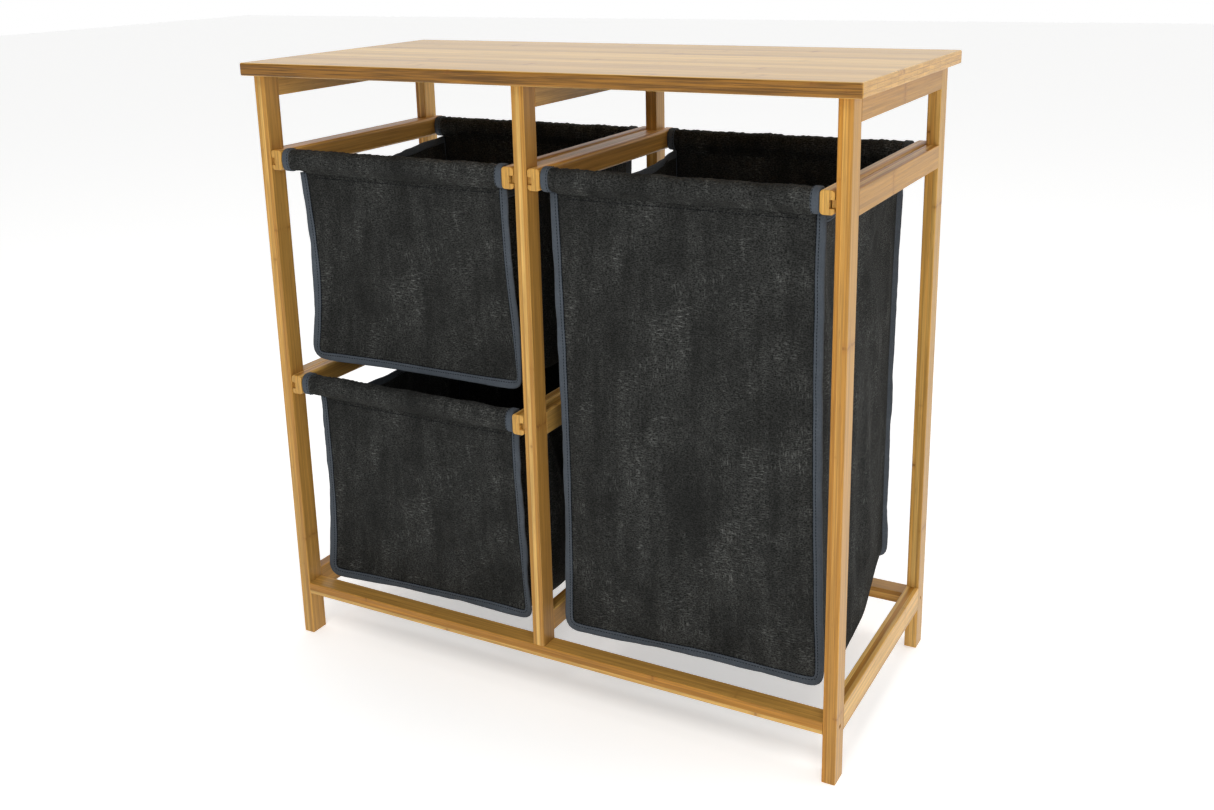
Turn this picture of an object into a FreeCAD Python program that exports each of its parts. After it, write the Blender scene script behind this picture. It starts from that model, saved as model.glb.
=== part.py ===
import FreeCAD, Part
import os
from FreeCAD import Vector

# Laundry sorter: a bamboo stand with three pull-out frames, each carrying a fabric bag.
# Two small drawers hang one above the other on the left, one tall drawer on the right.
# Millimetres. +Z is up, +X runs along the width and the front faces -Y.
# The origin is the middle of the top board's outline, on the floor.

# ---- driving dimensions ----------------------------------------------------
WIDTH = 740.0
DEPTH = 355.0
HEIGHT = 730.0
TOP_THICKNESS = 15.0
SIDE_OVERHANG = 11.0
FRONT_OVERHANG = 10.0
BACK_OVERHANG = 15.0
TOP_EDGE_RADIUS = 2.0

LATH = 15.0                 # thickness of every side-frame lath, along X
POST_DEPTH = 24.0
LATH_EDGE_RADIUS = 1.2

APRON_HEIGHT = 25.0
RUNNER_HEIGHT = 26.0
UPPER_RUNNER_Z = 602.0
LOWER_RUNNER_Z = 325.0
OUTER_LOW_RAIL = (52.0, 82.0)
MIDDLE_LOW_RAIL = (81.0, 107.0)
STRETCHER = (56.0, 71.0)

# Tongue strips on the frames, and the grooves of the drawer rails that run on them
TONGUE_REACH = 5.0
TONGUE_HEIGHT = 8.0
TONGUE_SETBACK = 4.0
TONGUE_EDGE_RADIUS = 0.8
GROOVE_DEPTH = 5.5
GROOVE_CLEARANCE = 0.3      # above and below the tongue

# Drawer frames
SIDE_CLEARANCE = 1.0        # between a rail and the posts
RAIL_THICKNESS = 15.0
RAIL_HEIGHT = 24.0
RAIL_RISE = 2.5             # rail centre above the runner's centre
GROOVE_DROP = 1.5           # groove centre below the rail's centre
RAIL_EDGE_RADIUS = 4.0
RAIL_END_RADIUS = 1.2
RAIL_BACK_GAP = 3.5         # rail end in front of the back posts' rear face
BAR_DEPTH = 14.0
BAR_HEIGHT = 19.0
BAR_EDGE_RADIUS = 6.0
FRONT_BAR_INSET = 11.0      # bar centre behind the rail's front end
BACK_BAR_INSET = 14.5

# Bags
CLOTH = 2.0
SLEEVE_WALL = 1.6
SLEEVE_CLEARANCE = 0.4
SLEEVE_END_GAP = 1.0
BAG_SIDE_GAP = 5.0          # between a bag's side panel and the rail's inner face
SIDE_PANEL_DROP = 10.0      # side panels' top edge below the rail
BAG_TAPER = 19.0            # front and back panels lean in by this much at the bottom
BAG_CORNER_RADIUS = 8.0
BAG_BOTTOMS = {"upper_left": 373.0, "lower_left": 80.0, "right": 80.0}

# Dowels and screws
DOWEL_RADIUS = 3.0
DOWEL_IN_POST = 8.0
DOWEL_IN_LATH = 14.0
DOWEL_SPACING = 12.0
DOWEL_CHAMFER = 0.8
FIT = 0.05                  # radial clearance of dowels and screws in the wood
SCREW_RADIUS = 2.0
SCREW_HEAD_RADIUS = 3.6
SCREW_HEAD_DEPTH = 3.0
SCREW_TIP = 3.0
SOCKET_WIDTH = 2.5
SOCKET_DEPTH = 1.8
GRUB_RADIUS = 2.4           # headless screw through the post into the stretcher
GRUB_LENGTH = 50.0
GRUB_RECESS = 1.5
TOP_SCREW_LENGTH = 24.0
TOP_SCREW_BORE = 12.0       # counterbore depth under the apron
TOP_SCREW_BORE_RADIUS = 4.0
TOP_SCREW_Y = 90.0
POST_SCREW_LENGTH = 50.0
BAR_SCREW_LENGTH = 36.0
BAR_SCREW_RECESS = 0.3
OVERRUN = 1.0               # how far a cutting tool runs past the wood

# ---- derived places --------------------------------------------------------
UNDER_TOP = HEIGHT - TOP_THICKNESS
FRONT = -DEPTH / 2 + FRONT_OVERHANG             # front faces of the posts
BACK = DEPTH / 2 - BACK_OVERHANG                # rear faces of the posts
FRONT_POST_Y = (FRONT, FRONT + POST_DEPTH)
BACK_POST_Y = (BACK - POST_DEPTH, BACK)
BETWEEN_POSTS_Y = (FRONT_POST_Y[1], BACK_POST_Y[0])
OUTER_X = WIDTH / 2 - SIDE_OVERHANG - LATH / 2  # centre of an outer side frame
FRAME_X = {"left": -OUTER_X, "middle": 0.0, "right": OUTER_X}
POST_BOTTOM = {"left": 0.0, "middle": STRETCHER[1], "right": 0.0}
LOW_RAIL = {"left": OUTER_LOW_RAIL, "middle": MIDDLE_LOW_RAIL, "right": OUTER_LOW_RAIL}
RUNNER_Z = {"upper": UPPER_RUNNER_Z, "lower": LOWER_RUNNER_Z}
LEFT_BAY = (-OUTER_X + LATH / 2, -LATH / 2)
RIGHT_BAY = (LATH / 2, OUTER_X - LATH / 2)
RAIL_Y = (FRONT, BACK - RAIL_BACK_GAP)
FRONT_BAR_Y = RAIL_Y[0] + FRONT_BAR_INSET
BACK_BAR_Y = RAIL_Y[1] - BACK_BAR_INSET
STRETCHER_X = (-OUTER_X + LATH / 2, OUTER_X - LATH / 2)
STRETCHER_MID_Z = sum(STRETCHER) / 2

# Each drawer: its bay, its runner level, and its bag's bottom
DRAWERS = {
    "upper_left": (LEFT_BAY, "upper"),
    "lower_left": (LEFT_BAY, "lower"),
    "right": (RIGHT_BAY, "upper"),
}

# Each tongue strip: side frame, runner level, and the side of the lath it stands on
TONGUES = {
    "left_upper": ("left", "upper", 1),
    "left_lower": ("left", "lower", 1),
    "middle_upper_left": ("middle", "upper", -1),
    "middle_lower_left": ("middle", "lower", -1),
    "middle_upper_right": ("middle", "upper", 1),
    "right_upper": ("right", "upper", -1),
}


# ---- shape helpers ---------------------------------------------------------
def block(x, y, z):
    """A box from three (low, high) pairs."""
    size = [high - low for low, high in (x, y, z)]
    return Part.makeBox(*size, Vector(x[0], y[0], z[0]))


def edges_along(shape, axis):
    """The straight edges of a shape that run along one axis."""
    found = []
    for edge in shape.Edges:
        if edge.Curve.TypeId != "Part::GeomLine":
            continue
        direction = edge.tangentAt(edge.FirstParameter)
        if abs(direction.dot(axis)) > 0.999:
            found.append(edge)
    return found


def edges_at(shape, y):
    """The edges of a shape that lie in the plane at one value of Y."""
    found = []
    for edge in shape.Edges:
        box = edge.BoundBox
        if abs(box.YMin - y) < 1e-6 and abs(box.YMax - y) < 1e-6:
            found.append(edge)
    return found


def lath(x, y, z, radius=LATH_EDGE_RADIUS):
    """A straight piece of wood with its long edges rounded."""
    body = block(x, y, z)
    lengths = [high - low for low, high in (x, y, z)]
    axis = Vector(*[1.0 if length == max(lengths) else 0.0 for length in lengths])
    return body.makeFillet(radius, edges_along(body, axis))


def rod(start, direction, length, radius):
    return Part.makeCylinder(radius, length, start, direction)


def frame_x(frame):
    """The low and high X of a side frame's laths."""
    centre = FRAME_X[frame]
    return (centre - LATH / 2, centre + LATH / 2)


def rail_centre_z(level):
    return RUNNER_Z[level] + RUNNER_HEIGHT / 2 + RAIL_RISE


def groove_centre_z(level):
    return rail_centre_z(level) - GROOVE_DROP


def around(centre, width):
    """The low and high of a span about its centre."""
    return (centre - width / 2, centre + width / 2)


# ---- fasteners -------------------------------------------------------------
def dowel(start, direction, grow=0.0):
    """A round dowel from a lath's end into the post, or with grow the hole for it."""
    length = DOWEL_IN_POST + DOWEL_IN_LATH
    body = rod(start - direction * DOWEL_IN_LATH, direction, length, DOWEL_RADIUS + grow)
    if grow:
        return body
    rims = [edge for edge in body.Edges if edge.Curve.TypeId == "Part::GeomCircle"]
    return body.makeChamfer(DOWEL_CHAMFER, rims)


def hex_socket(start, direction):
    """The key socket sunk into a screw's outer end."""
    corners = Part.makeCircle(SOCKET_WIDTH / 2, start, direction).discretize(7)
    return Part.Face(Part.makePolygon(corners)).extrude(direction * SOCKET_DEPTH)


def screw_blank(start, direction, length, grow=0.0):
    """A countersunk screw without its socket; start is the middle of its head."""
    head = Part.makeCone(SCREW_HEAD_RADIUS + grow, SCREW_RADIUS + grow,
                         SCREW_HEAD_DEPTH, start, direction)
    shank = rod(start, direction, length - SCREW_TIP, SCREW_RADIUS + grow)
    tip = Part.makeCone(SCREW_RADIUS + grow, SCREW_RADIUS / 4 + grow, SCREW_TIP + grow,
                        start + direction * (length - SCREW_TIP), direction)
    return head.fuse([shank, tip]).removeSplitter()


def screw(start, direction, length):
    return screw_blank(start, direction, length).cut(hex_socket(start, direction))


def grub_screw(start, direction):
    """A headless screw with a key socket and a plain tip."""
    body = rod(start, direction, GRUB_LENGTH, GRUB_RADIUS)
    return body.cut(hex_socket(start, direction))


# ---- the side frames -------------------------------------------------------
def frame_laths(frame):
    """The laths of one side frame that run between its two posts: name to low and high Z."""
    laths = {
        f"{frame}_apron": (UNDER_TOP - APRON_HEIGHT, UNDER_TOP),
        f"{frame}_upper_runner": (UPPER_RUNNER_Z, UPPER_RUNNER_Z + RUNNER_HEIGHT),
        f"{frame}_low_rail": LOW_RAIL[frame],
    }
    if frame != "right":
        laths[f"{frame}_lower_runner"] = (LOWER_RUNNER_Z, LOWER_RUNNER_Z + RUNNER_HEIGHT)
    return laths


def dowel_places(frame, z):
    """Where the two dowels at each end of one lath cross its end face."""
    places = []
    for dz in (-DOWEL_SPACING / 2, DOWEL_SPACING / 2):
        height = sum(z) / 2 + dz
        places.append((Vector(FRAME_X[frame], BETWEEN_POSTS_Y[0], height), Vector(0, -1, 0)))
        places.append((Vector(FRAME_X[frame], BETWEEN_POSTS_Y[1], height), Vector(0, 1, 0)))
    return places


def stretcher_screw_places():
    """The screws through the outer posts: the outer end of each and its direction."""
    places = []
    for side in (-1, 1):
        x = side * (OUTER_X + LATH / 2 - GRUB_RECESS)
        for post_y in (FRONT_POST_Y, BACK_POST_Y):
            places.append((Vector(x, sum(post_y) / 2, STRETCHER_MID_Z), Vector(-side, 0, 0)))
    return places


def post_screw_places():
    """The screws from under each stretcher up into the middle posts."""
    return [(Vector(0, sum(post_y) / 2, STRETCHER[0]), Vector(0, 0, 1))
            for post_y in (FRONT_POST_Y, BACK_POST_Y)]


def top_screw_places(frame):
    """The screws from inside each apron's counterbores up into the top board."""
    z = UNDER_TOP - APRON_HEIGHT + TOP_SCREW_BORE
    return [(Vector(FRAME_X[frame], y, z), Vector(0, 0, 1))
            for y in (-TOP_SCREW_Y, TOP_SCREW_Y)]


def side_frame(frame):
    """The two posts, the laths between them and the dowels of one side frame."""
    x = frame_x(frame)
    z = (POST_BOTTOM[frame], UNDER_TOP)
    holes = []
    dowels = []
    parts = {}
    for name, lath_z in frame_laths(frame).items():
        places = dowel_places(frame, lath_z)
        lath_holes = [dowel(at, direction, FIT) for at, direction in places]
        parts[name] = lath(x, BETWEEN_POSTS_Y, lath_z).cut(lath_holes)
        dowels += [dowel(at, direction) for at, direction in places]
        holes += lath_holes
    for at, direction in stretcher_screw_places():
        if abs(at.x - FRAME_X[frame]) < LATH:
            holes.append(rod(at - direction * GRUB_RECESS * 2, direction,
                             GRUB_LENGTH, GRUB_RADIUS + FIT))
    if frame == "middle":
        holes += [screw_blank(at, direction, POST_SCREW_LENGTH, FIT)
                  for at, direction in post_screw_places()]
    apron = parts[f"{frame}_apron"]
    for at, direction in top_screw_places(frame):
        bore = rod(at - direction * (TOP_SCREW_BORE + OVERRUN), direction,
                   TOP_SCREW_BORE + OVERRUN, TOP_SCREW_BORE_RADIUS)
        apron = apron.cut([bore, screw_blank(at, direction, TOP_SCREW_LENGTH, FIT)])
    parts[f"{frame}_apron"] = apron
    parts[f"{frame}_front_post"] = lath(x, FRONT_POST_Y, z).cut(holes)
    parts[f"{frame}_back_post"] = lath(x, BACK_POST_Y, z).cut(holes)
    parts[f"{frame}_dowels"] = Part.makeCompound(dowels)
    return parts


def tongue(frame, level, side):
    """A strip on the inner face of a frame that carries one side of a drawer."""
    face = FRAME_X[frame] + side * LATH / 2
    x = sorted((face, face + side * TONGUE_REACH))
    y = (FRONT + TONGUE_SETBACK, BACK - TONGUE_SETBACK)
    return lath(x, y, around(groove_centre_z(level), TONGUE_HEIGHT), TONGUE_EDGE_RADIUS)


# ---- the board and the stretchers ------------------------------------------
def top_board():
    body = block((-WIDTH / 2, WIDTH / 2), (-DEPTH / 2, DEPTH / 2), (UNDER_TOP, HEIGHT))
    body = body.makeFillet(TOP_EDGE_RADIUS, body.Edges)
    holes = []
    for frame in FRAME_X:
        holes += [screw_blank(at, direction, TOP_SCREW_LENGTH, FIT)
                  for at, direction in top_screw_places(frame)]
    return body.cut(holes)


def stretcher(post_y):
    """A long bar between the outer posts, which carries a middle post."""
    body = lath(STRETCHER_X, post_y, STRETCHER)
    holes = [rod(at, direction, GRUB_LENGTH + FIT, GRUB_RADIUS + FIT)
             for at, direction in stretcher_screw_places()]
    holes += [screw_blank(at, direction, POST_SCREW_LENGTH, FIT)
              for at, direction in post_screw_places()]
    return body.cut(holes)


# ---- the drawers -----------------------------------------------------------
def rail_x(bay):
    """The low and high X of a drawer's left and right rails."""
    left = bay[0] + SIDE_CLEARANCE
    right = bay[1] - SIDE_CLEARANCE
    return (left, left + RAIL_THICKNESS), (right - RAIL_THICKNESS, right)


def bar_screw_places(bay, level):
    """The screws from each groove's floor into the bars' ends."""
    places = []
    left, right = rail_x(bay)
    sink = GROOVE_DEPTH + BAR_SCREW_RECESS
    for y in (FRONT_BAR_Y, BACK_BAR_Y):
        z = groove_centre_z(level)
        places.append((Vector(left[0] + sink, y, z), Vector(1, 0, 0)))
        places.append((Vector(right[1] - sink, y, z), Vector(-1, 0, 0)))
    return places


def bar_screw_holes(bay, level):
    """The bored seat of each bar screw, open into the groove."""
    holes = []
    for at, direction in bar_screw_places(bay, level):
        mouth = rod(at - direction * OVERRUN, direction, OVERRUN, SCREW_HEAD_RADIUS + FIT)
        holes.append(screw_blank(at, direction, BAR_SCREW_LENGTH, FIT).fuse(mouth))
    return holes


def drawer_rail(x, outer_side, bay, level):
    """One grooved side rail; outer_side is -1 or 1, the side its groove opens to."""
    z = around(rail_centre_z(level), RAIL_HEIGHT)
    body = lath(x, RAIL_Y, z, RAIL_EDGE_RADIUS)
    body = body.makeFillet(RAIL_END_RADIUS, edges_at(body, RAIL_Y[0]) + edges_at(body, RAIL_Y[1]))
    floor = (x[0], x[0] + GROOVE_DEPTH) if outer_side < 0 else (x[1] - GROOVE_DEPTH, x[1])
    groove = block((floor[0] - OVERRUN * (outer_side < 0), floor[1] + OVERRUN * (outer_side > 0)),
                   (RAIL_Y[0] - OVERRUN, RAIL_Y[1] + OVERRUN),
                   around(groove_centre_z(level), TONGUE_HEIGHT + 2 * GROOVE_CLEARANCE))
    return body.cut([groove] + bar_screw_holes(bay, level))


def cross_bar(x, y, z, grow=0.0):
    """A rounded bar across a drawer, larger by grow all round for a sleeve's section."""
    body = block(x, around(y, BAR_DEPTH + 2 * grow), around(z, BAR_HEIGHT + 2 * grow))
    return body.makeFillet(BAR_EDGE_RADIUS + grow, edges_along(body, Vector(1, 0, 0)))


def sleeve(x, y, z):
    """The sewn tunnel of a bag around one bar."""
    outer = cross_bar(x, y, z, SLEEVE_CLEARANCE + SLEEVE_WALL)
    inner = cross_bar((x[0] - OVERRUN, x[1] + OVERRUN), y, z, SLEEVE_CLEARANCE)
    return outer.cut(inner)


def outline(x, y, z):
    """A rounded rectangle at one height."""
    r = BAG_CORNER_RADIUS
    flat = block(x, y, (z, z + 1.0))
    flat = flat.makeFillet(r, edges_along(flat, Vector(0, 0, 1)))
    bottom = [face for face in flat.Faces if face.BoundBox.ZMax - z < 1e-6]
    return bottom[0].OuterWire


def tapered(x, bottom_y, top_y, z):
    """A closed solid between two rounded rectangles of one width."""
    return Part.makeLoft([outline(x, bottom_y, z[0]), outline(x, top_y, z[1])], True, True)


def inset(span, amount):
    return (span[0] + amount, span[1] - amount)


def bag(name, bay, level):
    """An open cloth bag hung from two bars by its sleeves, as one thin closed solid."""
    left, right = rail_x(bay)
    bar_x = (left[1], right[0])
    panel_x = inset(bar_x, BAG_SIDE_GAP)
    bar_z = rail_centre_z(level)
    rim_z = bar_z - RAIL_HEIGHT / 2 - SIDE_PANEL_DROP
    sleeve_base = bar_z - BAR_HEIGHT / 2 - SLEEVE_CLEARANCE - SLEEVE_WALL
    bottom_z = BAG_BOTTOMS[name]
    top_y = (FRONT_BAR_Y - CLOTH / 2, BACK_BAR_Y + CLOTH / 2)
    bottom_y = inset(top_y, BAG_TAPER)

    body = tapered(panel_x, bottom_y, top_y, (bottom_z, rim_z))
    hollow = tapered(inset(panel_x, CLOTH), inset(bottom_y, CLOTH), inset(top_y, CLOTH),
                     (bottom_z + CLOTH, rim_z + OVERRUN))
    body = body.cut(hollow)
    flap_x = inset(panel_x, BAG_CORNER_RADIUS)
    flap_z = (rim_z - CLOTH, sleeve_base + SLEEVE_WALL / 2)
    pieces = []
    for y in (FRONT_BAR_Y, BACK_BAR_Y):
        pieces.append(sleeve(inset(bar_x, SLEEVE_END_GAP), y, bar_z))
        pieces.append(block(flap_x, around(y, CLOTH), flap_z))
    return body.fuse(pieces).removeSplitter()


def drawer(name, bay, level):
    """Two grooved rails, two bars, the bag and the screws of one drawer."""
    left, right = rail_x(bay)
    bar_x = (left[1], right[0])
    bar_z = rail_centre_z(level)
    holes = bar_screw_holes(bay, level)
    screws = [screw(at, direction, BAR_SCREW_LENGTH)
              for at, direction in bar_screw_places(bay, level)]
    return {
        f"{name}_drawer_left_rail": drawer_rail(left, -1, bay, level),
        f"{name}_drawer_right_rail": drawer_rail(right, 1, bay, level),
        f"{name}_drawer_front_bar": cross_bar(bar_x, FRONT_BAR_Y, bar_z).cut(holes),
        f"{name}_drawer_back_bar": cross_bar(bar_x, BACK_BAR_Y, bar_z).cut(holes),
        f"{name}_drawer_screws": Part.makeCompound(screws),
        f"{name}_bag": bag(name, bay, level),
    }


# ---- assembly --------------------------------------------------------------
def build():
    parts = {
        "top_board": top_board(),
        "front_stretcher": stretcher(FRONT_POST_Y),
        "back_stretcher": stretcher(BACK_POST_Y),
    }
    for frame in FRAME_X:
        parts.update(side_frame(frame))
    for name, (frame, level, side) in TONGUES.items():
        parts[f"{name}_tongue"] = tongue(frame, level, side)
    for name, (bay, level) in DRAWERS.items():
        parts.update(drawer(name, bay, level))
    parts["stretcher_screws"] = Part.makeCompound(
        [grub_screw(at, direction) for at, direction in stretcher_screw_places()])
    parts["middle_post_screws"] = Part.makeCompound(
        [screw(at, direction, POST_SCREW_LENGTH) for at, direction in post_screw_places()])
    parts["top_board_screws"] = Part.makeCompound(
        [screw(at, direction, TOP_SCREW_LENGTH)
         for frame in FRAME_X for at, direction in top_screw_places(frame)])
    return parts


os.makedirs("parts", exist_ok=True)
for node, shape in build().items():
    shape.exportStep(f"parts/{node}.step")
    print(node, "valid", shape.isValid(), "solids", len(shape.Solids), "volume", round(shape.Volume))
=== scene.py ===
"""Laundry sorter: its looks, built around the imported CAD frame.

Lengths are in metres in the CAD's own frame: X along the width, Y to the rear, Z up. The drawers pull out
towards -Y. The wood and the screws are the CAD's nodes with finished materials. The three bags are sewn here
from cloth panels that hang by simulation under sleeves, with binding tape and stitches along their seams.
"""

import math

import bpy
import numpy as np
from mathutils import Matrix, Vector


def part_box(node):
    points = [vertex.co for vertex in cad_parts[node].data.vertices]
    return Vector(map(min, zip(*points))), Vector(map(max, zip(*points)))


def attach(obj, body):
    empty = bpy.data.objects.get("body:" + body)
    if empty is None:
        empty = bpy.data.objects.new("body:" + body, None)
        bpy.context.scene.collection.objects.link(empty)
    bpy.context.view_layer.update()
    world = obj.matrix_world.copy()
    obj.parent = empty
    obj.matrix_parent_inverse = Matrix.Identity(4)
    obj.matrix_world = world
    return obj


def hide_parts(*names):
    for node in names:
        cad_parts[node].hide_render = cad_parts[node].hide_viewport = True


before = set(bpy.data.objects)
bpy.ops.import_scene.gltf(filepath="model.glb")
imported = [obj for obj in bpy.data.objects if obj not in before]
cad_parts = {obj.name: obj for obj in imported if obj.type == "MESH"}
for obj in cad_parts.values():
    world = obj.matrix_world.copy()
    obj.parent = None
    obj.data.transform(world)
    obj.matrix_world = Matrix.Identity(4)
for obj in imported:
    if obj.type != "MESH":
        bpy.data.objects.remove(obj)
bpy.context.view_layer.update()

MM = 0.001

# the camera, where the photograph was taken from
CAMERA_AT = (0.7260, -1.3011, 0.8558)
CAMERA_YAW = math.radians(28.881)
CAMERA_PITCH = math.radians(15.469)
CAMERA_ROLL = math.radians(-1.307)
CAMERA_LENS = 38.49
CAMERA_SHIFT_Y = -0.0865

# the studio: a pale sweep behind the object and a dimmer room behind the camera
SKY_FRONT = 0.06
SKY_BACK = 0.98
SKY_SEEN = 1.0
SKY_TURN = 0.35                # how far to each side of the middle the room's brightness changes
FLOOR_GLOW = 0.43
FLOOR_REACH = 12.0
LIT_POINT = (0.0, 0.0, 0.38)
LIGHTS = (
    # name, place, width, power
    ("key_light", (0.3, -1.9, 2.9), 1.4, 37.0),
    ("fill_light", (1.5, -1.8, 1.2), 1.0, 13.0),
    ("side_light", (2.4, 0.4, 1.5), 1.2, 7.0),
    ("top_light", (0.2, 0.1, 2.6), 1.6, 4.0),
)

# the wood
LAMINA = 5.0 * MM
BOARD_STRIP = 22.0 * MM
LATH_STRIP = 60.0 * MM
NODE_EVERY = 0.40
WOOD_DARK = (0.44, 0.195, 0.026)
WOOD_PALE = (0.71, 0.425, 0.118)
WOOD_RED = (0.52, 0.230, 0.030)
# painted light: the paler colour the flat faces are painted, standing for the light on tops and sides
WOOD_LIT_FLAT = (0.82, 0.510, 0.135)
WOOD_END = (0.62, 0.340, 0.075)

# the cloth
CLOTH = 1.3 * MM
SLEEVE_THICK = 0.9 * MM
CELL = 9.0 * MM               # the net's spacing
TOP_DROP = 14.0 * MM          # from a bar's middle down to the hem
RIM_DROP = {"front": 20.0 * MM, "back": 16.0 * MM}
BAG_CORNER = 4.0 * MM
SIM_FRAMES = 32
SIM_CAP = 14.0 * MM           # the most that the simulation may move a point
SLEEVE_HALF_Y = 10.0 * MM
SLEEVE_HALF_Z = 12.3 * MM
SLEEVE_POWER = 0.78          # below 1 makes the oval squarer
SLEEVE_GAP = 0.8 * MM
TAPE_OUT = 8.0 * MM
TAPE_IN = 1.5 * MM
TAPE_THICK = 3.0 * MM
RIM_TAPE_IN = 5.0 * MM
RING_WIDE = 9.0 * MM
RING_PROUD = 0.2 * MM
RING_PLACES = np.array([0.0, 0.5, 1.6, 4.5, 7.6, 8.6, 9.0]) / 9.0
RING_RISE = np.array([0.2, 0.75, 0.95, 1.0, 0.95, 0.75, 0.1]) * MM
BACK_TAPE_TURN = math.radians(50.0)
STITCH_STEP = 3.5 * MM
STITCH_LONG = 2.4 * MM
STITCH_WIDE = 0.8 * MM
# the groove's stitches, long and wide so that they also paint the shadow line beside the tape
GROOVE_SHADOW_LONG = 3.3 * MM
GROOVE_SHADOW_WIDE = 1.4 * MM

# how the bags hang
HANG_IN = 3.0 * MM
LEAN = 15.0 * MM
RIM_SAG = 3.0 * MM
SEAM_DIP = 2.0 * MM
SIDE_BULGE = 6.0 * MM
SEAM_EASE = 4.0
SEAM_GIVE = np.array([0.5, 0.8, 0.2])
SEAM_FADE = 2.5
CORNER_HOLD = 45.0 * MM
CORNER_KEEP = 0.8
FRONT_FOLD = 1.6 * MM
FRONT_FOLD_WAVES = 130.0 * MM, 190.0 * MM
SIDE_FOLD = 6.0 * MM
SIDE_FOLD_WAVES = 85.0 * MM, 500.0 * MM
SIDE_FOLD_SLANT = 0.18


# ---------------------------------------------------------------- numbers

def smooth(x):
    """0 to 1, easing in and out."""
    x = np.clip(x, 0.0, 1.0)
    return x * x * (3.0 - 2.0 * x)


def wander(s, wave, seed, count=5):
    """A smooth irregular wave along s, between about -1 and 1, its crests about wave apart."""
    draw = np.random.default_rng(seed)
    total = np.zeros_like(np.asarray(s, float))
    for _ in range(count):
        pace = 2.0 * math.pi / wave * draw.uniform(0.55, 1.5)
        total = total + np.sin(pace * s + draw.uniform(0.0, 2.0 * math.pi))
    return total / math.sqrt(2.0 * count)


def ripple(u, v, wave_u, wave_v, seed, count=7):
    """The same over a surface, with waves of about those lengths along u and v."""
    draw = np.random.default_rng(seed)
    total = np.zeros_like(u * v)
    for _ in range(count):
        ku = 2.0 * math.pi / wave_u * draw.uniform(0.4, 1.6)
        kv = 2.0 * math.pi / wave_v * draw.uniform(-1.0, 1.0)
        total = total + np.sin(ku * u + kv * v + draw.uniform(0.0, 2.0 * math.pi))
    return total / math.sqrt(2.0 * count)


def unit(vectors):
    return vectors / np.maximum(np.linalg.norm(vectors, axis=-1, keepdims=True), 1e-12)


def run_along(points):
    """How far along the line each of its points is."""
    steps = np.linalg.norm(np.diff(points, axis=0), axis=1)
    return np.concatenate([[0.0], np.cumsum(steps)])


def spaced(points, count):
    """The line again, with count + 1 points evenly along it."""
    along = run_along(points)
    at = np.linspace(0.0, along[-1], count + 1)
    return np.stack([np.interp(at, along, points[:, k]) for k in range(points.shape[1])], axis=1)


def b_spline(points, per):
    """The smooth line that a subdivided edge follows through these control points, per samples to a span."""
    padded = np.vstack([2 * points[:1] - points[1:2], points, 2 * points[-1:] - points[-2:-1]])
    t = np.linspace(0.0, 1.0, per, endpoint=False)[:, None]
    weights = [(1 - t) ** 3, 3 * t ** 3 - 6 * t ** 2 + 4, -3 * t ** 3 + 3 * t ** 2 + 3 * t + 1, t ** 3]
    spans = []
    for i in range(len(points) - 1):
        spans.append(sum(w * padded[i + k] for k, w in enumerate(weights)) / 6.0)
    return np.vstack(spans + [points[-1:]])


# ---------------------------------------------------------------- meshes

def new_object(name, verts, faces, thread, material, body):
    """A smooth mesh that rides on a body, with the place of each face corner on its cloth."""
    mesh = bpy.data.meshes.new(name)
    mesh.from_pydata(verts.tolist(), [], faces)
    mesh.polygons.foreach_set("use_smooth", [len(f) <= 4 for f in faces])
    place = np.zeros((len(mesh.loops), 3), np.float32)
    place[:len(thread), :2] = thread
    mesh.attributes.new("thread", "FLOAT_VECTOR", "CORNER").data.foreach_set("vector", place.ravel())
    mesh.materials.append(material)
    piece = bpy.data.objects.new(name, mesh)
    bpy.context.scene.collection.objects.link(piece)
    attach(piece, body)
    return piece


def grid_parts(points, thread, wrap):
    """Vertices, quads and corner places of a grid of points, closed on itself along its columns if wrap."""
    rows, cols = points.shape[:2]
    r, c = np.meshgrid(np.arange(rows - 1), np.arange(cols if wrap else cols - 1), indexing="ij")
    nxt = (c + 1) % cols
    quads = np.stack([r * cols + c, r * cols + nxt, (r + 1) * cols + nxt, (r + 1) * cols + c], axis=-1)
    corners = np.stack([thread[r, c], thread[r, c + 1], thread[r + 1, c + 1], thread[r + 1, c]], axis=2)
    return points.reshape(-1, 3), quads.reshape(-1, 4), corners.reshape(-1, 2)


class Pile:
    """Gathers grids into one mesh."""

    def __init__(self):
        self.verts, self.faces, self.caps, self.thread, self.count = [], [], [], [], 0

    def grid(self, points, thread, wrap=False, capped=False):
        verts, quads, corners = grid_parts(points, thread, wrap)
        self.faces += (quads + self.count).tolist()
        self.thread.append(corners)
        if capped:
            cols = points.shape[1]
            first = list(range(self.count, self.count + cols))
            last = list(range(self.count + len(verts) - cols, self.count + len(verts)))
            self.caps += [first[::-1], last]
        self.verts.append(verts)
        self.count += len(verts)

    def build(self, name, material, body, slot):
        thread = np.vstack(self.thread)
        return new_object(name, np.vstack(self.verts), self.faces + self.caps, thread, material, body)


def tube_thread(along, ring):
    """Corner places for a closed section swept along a line: distance along, distance round."""
    closed = np.vstack([ring, ring[:1]])
    around = run_along(closed)
    return np.stack(np.meshgrid(along, around, indexing="ij"), axis=-1)


# ---------------------------------------------------------------- materials

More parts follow.
